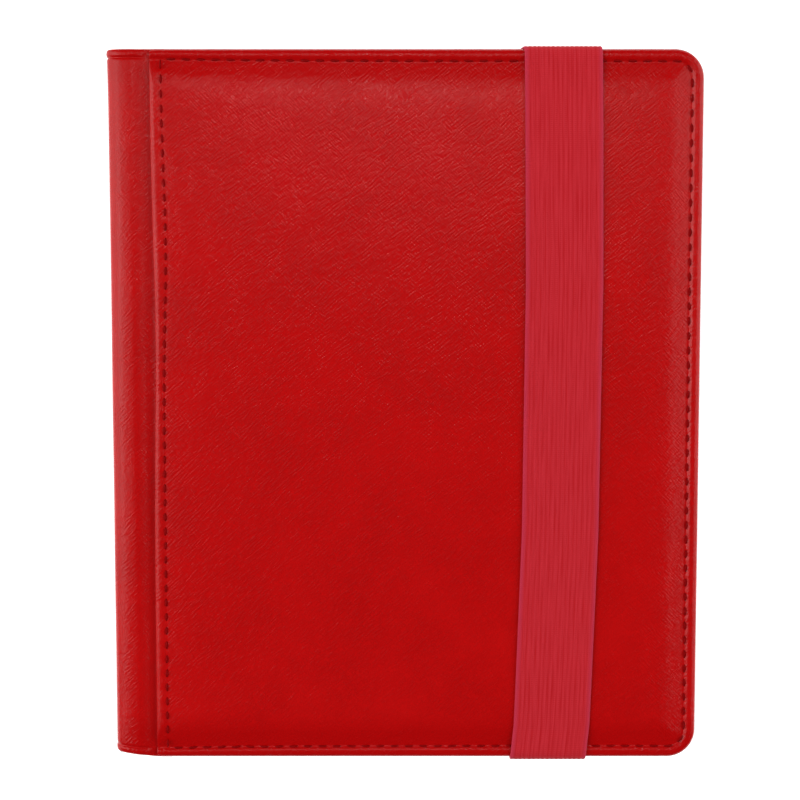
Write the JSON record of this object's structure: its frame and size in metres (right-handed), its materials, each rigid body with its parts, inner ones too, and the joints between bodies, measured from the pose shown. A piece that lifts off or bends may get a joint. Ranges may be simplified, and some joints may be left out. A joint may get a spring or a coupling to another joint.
{
  "type": "trading card binder",
  "caption": "Padded side-loading card binder with a hinged spine, pocket leaves and an elastic strap that holds it shut.",
  "frame": {"origin": "centre of the closed binder's footprint, on the surface that it lies on", "axes": "+X from the spine to the fore edge, +Y from tail to head, +Z from the back cover to the front cover"},
  "size_m": [0.186, 0.2262, 0.0291],
  "materials": {
    "red_leatherette": "satin",
    "lining_cloth": "matte",
    "greyboard": "matte",
    "foam": "matte",
    "thread": "satin",
    "elastic": "matte",
    "black_plastic": "matte",
    "pocket_sheet": "gloss"
  },
  "bodies": {
    "back_cover": {"back_leatherette": "red_leatherette", "back_foam_pad": "foam", "back_board": "greyboard", "back_filler_card": "greyboard", "back_lining": "lining_cloth", "back_gutter_strip": "red_leatherette", "back_needle_thread": "thread", "back_bobbin_thread": "thread", "back_seam_thread": "thread", "strap_end_head": "elastic", "strap_end_tail": "elastic", "strap_tack_thread": "thread"},
    "spine": {"spine_leatherette": "red_leatherette", "spine_foam_pad": "foam", "spine_board": "greyboard", "spine_lining": "lining_cloth", "back_hinge_wrap": "red_leatherette", "front_hinge_wrap": "red_leatherette", "page_binding_comb": "black_plastic", "leaf_scored_strips": "pocket_sheet"},
    "front_cover": {"front_leatherette": "red_leatherette", "front_foam_pad": "foam", "front_board": "greyboard", "front_filler_card": "greyboard", "front_lining": "lining_cloth", "front_gutter_strip": "red_leatherette", "front_needle_thread": "thread", "front_bobbin_thread": "thread", "front_seam_thread": "thread"},
    "strap": {"strap_band": "elastic"},
    "leaf_01": {"leaf_01": "pocket_sheet"},
    "leaf_02": {"leaf_02": "pocket_sheet"},
    "leaf_03": {"leaf_03": "pocket_sheet"},
    "leaf_04": {"leaf_04": "pocket_sheet"},
    "leaf_05": {"leaf_05": "pocket_sheet"},
    "leaf_06": {"leaf_06": "pocket_sheet"},
    "leaf_07": {"leaf_07": "pocket_sheet"},
    "leaf_08": {"leaf_08": "pocket_sheet"},
    "leaf_09": {"leaf_09": "pocket_sheet"},
    "leaf_10": {"leaf_10": "pocket_sheet"},
    "leaf_11": {"leaf_11": "pocket_sheet"},
    "leaf_12": {"leaf_12": "pocket_sheet"},
    "leaf_13": {"leaf_13": "pocket_sheet"},
    "leaf_14": {"leaf_14": "pocket_sheet"},
    "leaf_15": {"leaf_15": "pocket_sheet"},
    "leaf_16": {"leaf_16": "pocket_sheet"},
    "leaf_17": {"leaf_17": "pocket_sheet"},
    "leaf_18": {"leaf_18": "pocket_sheet"},
    "leaf_19": {"leaf_19": "pocket_sheet"},
    "leaf_20": {"leaf_20": "pocket_sheet"}
  },
  "joints": [
    {"name": "spine_hinge", "type": "hinge", "parent": "back_cover", "child": "spine", "pos_m": [-0.09, 0, 0.003], "axis": [0, -1, 0], "range_deg": [0, 90], "deforming": ["back_hinge_wrap"]},
    {"name": "front_cover_hinge", "type": "hinge", "parent": "spine", "child": "front_cover", "pos_m": [-0.09, 0, 0.025], "axis": [0, -1, 0], "range_deg": [0, 90], "deforming": ["front_hinge_wrap"]},
    {"name": "leaf_01_hinge", "type": "hinge", "parent": "spine", "child": "leaf_01", "pos_m": [-0.085, 0, 0.0216], "axis": [0, -1, 0], "range_deg": [0, 90], "deforming": ["leaf_scored_strips"]},
    {"name": "leaf_02_hinge", "type": "hinge", "parent": "spine", "child": "leaf_02", "pos_m": [-0.085, 0, 0.0208], "axis": [0, -1, 0], "range_deg": [0, 90]},
    {"name": "leaf_03_hinge", "type": "hinge", "parent": "spine", "child": "leaf_03", "pos_m": [-0.085, 0, 0.02], "axis": [0, -1, 0], "range_deg": [0, 90]},
    {"name": "leaf_04_hinge", "type": "hinge", "parent": "spine", "child": "leaf_04", "pos_m": [-0.085, 0, 0.0192], "axis": [0, -1, 0], "range_deg": [0, 90]},
    {"name": "leaf_05_hinge", "type": "hinge", "parent": "spine", "child": "leaf_05", "pos_m": [-0.085, 0, 0.0184], "axis": [0, -1, 0], "range_deg": [0, 90]},
    {"name": "leaf_06_hinge", "type": "hinge", "parent": "spine", "child": "leaf_06", "pos_m": [-0.085, 0, 0.0176], "axis": [0, -1, 0], "range_deg": [0, 90]},
    {"name": "leaf_07_hinge", "type": "hinge", "parent": "spine", "child": "leaf_07", "pos_m": [-0.085, 0, 0.0168], "axis": [0, -1, 0], "range_deg": [0, 90]},
    {"name": "leaf_08_hinge", "type": "hinge", "parent": "spine", "child": "leaf_08", "pos_m": [-0.085, 0, 0.016], "axis": [0, -1, 0], "range_deg": [0, 90]},
    {"name": "leaf_09_hinge", "type": "hinge", "parent": "spine", "child": "leaf_09", "pos_m": [-0.085, 0, 0.0152], "axis": [0, -1, 0], "range_deg": [0, 90]},
    {"name": "leaf_10_hinge", "type": "hinge", "parent": "spine", "child": "leaf_10", "pos_m": [-0.085, 0, 0.0144], "axis": [0, -1, 0], "range_deg": [0, 90]},
    {"name": "leaf_11_hinge", "type": "hinge", "parent": "spine", "child": "leaf_11", "pos_m": [-0.085, 0, 0.0136], "axis": [0, -1, 0], "range_deg": [-90, 0]},
    {"name": "leaf_12_hinge", "type": "hinge", "parent": "spine", "child": "leaf_12", "pos_m": [-0.085, 0, 0.0128], "axis": [0, -1, 0], "range_deg": [-90, 0]},
    {"name": "leaf_13_hinge", "type": "hinge", "parent": "spine", "child": "leaf_13", "pos_m": [-0.085, 0, 0.012], "axis": [0, -1, 0], "range_deg": [-90, 0]},
    {"name": "leaf_14_hinge", "type": "hinge", "parent": "spine", "child": "leaf_14", "pos_m": [-0.085, 0, 0.0112], "axis": [0, -1, 0], "range_deg": [-90, 0]},
    {"name": "leaf_15_hinge", "type": "hinge", "parent": "spine", "child": "leaf_15", "pos_m": [-0.085, 0, 0.0104], "axis": [0, -1, 0], "range_deg": [-90, 0]},
    {"name": "leaf_16_hinge", "type": "hinge", "parent": "spine", "child": "leaf_16", "pos_m": [-0.085, 0, 0.0096], "axis": [0, -1, 0], "range_deg": [-90, 0]},
    {"name": "leaf_17_hinge", "type": "hinge", "parent": "spine", "child": "leaf_17", "pos_m": [-0.085, 0, 0.0088], "axis": [0, -1, 0], "range_deg": [-90, 0]},
    {"name": "leaf_18_hinge", "type": "hinge", "parent": "spine", "child": "leaf_18", "pos_m": [-0.085, 0, 0.008], "axis": [0, -1, 0], "range_deg": [-90, 0]},
    {"name": "leaf_19_hinge", "type": "hinge", "parent": "spine", "child": "leaf_19", "pos_m": [-0.085, 0, 0.0072], "axis": [0, -1, 0], "range_deg": [-90, 0]},
    {"name": "leaf_20_hinge", "type": "hinge", "parent": "spine", "child": "leaf_20", "pos_m": [-0.085, 0, 0.0064], "axis": [0, -1, 0], "range_deg": [-90, 0]},
    {"name": "strap_release", "type": "slide", "parent": "back_cover", "child": "strap", "axis": [1, 0, 0], "range_m": [0, 0.062], "deforming": ["strap_band"]}
  ],
  "couplings": [
    {"joint": "front_cover_hinge", "follows": "spine_hinge", "ratio": 1},
    {"joint": "leaf_01_hinge", "follows": "spine_hinge", "ratio": 1},
    {"joint": "leaf_02_hinge", "follows": "spine_hinge", "ratio": 0.98778},
    {"joint": "leaf_03_hinge", "follows": "spine_hinge", "ratio": 0.97556},
    {"joint": "leaf_04_hinge", "follows": "spine_hinge", "ratio": 0.96333},
    {"joint": "leaf_05_hinge", "follows": "spine_hinge", "ratio": 0.95111},
    {"joint": "leaf_06_hinge", "follows": "spine_hinge", "ratio": 0.93889},
    {"joint": "leaf_07_hinge", "follows": "spine_hinge", "ratio": 0.92667},
    {"joint": "leaf_08_hinge", "follows": "spine_hinge", "ratio": 0.91444},
    {"joint": "leaf_09_hinge", "follows": "spine_hinge", "ratio": 0.90222},
    {"joint": "leaf_10_hinge", "follows": "spine_hinge", "ratio": 0.89},
    {"joint": "leaf_11_hinge", "follows": "spine_hinge", "ratio": -0.89},
    {"joint": "leaf_12_hinge", "follows": "spine_hinge", "ratio": -0.90222},
    {"joint": "leaf_13_hinge", "follows": "spine_hinge", "ratio": -0.91444},
    {"joint": "leaf_14_hinge", "follows": "spine_hinge", "ratio": -0.92667},
    {"joint": "leaf_15_hinge", "follows": "spine_hinge", "ratio": -0.93889},
    {"joint": "leaf_16_hinge", "follows": "spine_hinge", "ratio": -0.95111},
    {"joint": "leaf_17_hinge", "follows": "spine_hinge", "ratio": -0.96333},
    {"joint": "leaf_18_hinge", "follows": "spine_hinge", "ratio": -0.97556},
    {"joint": "leaf_19_hinge", "follows": "spine_hinge", "ratio": -0.98778},
    {"joint": "leaf_20_hinge", "follows": "spine_hinge", "ratio": -1},
    {"joint": "strap_release", "follows": "spine_hinge", "m_per_rad": 0.03947}
  ]
}
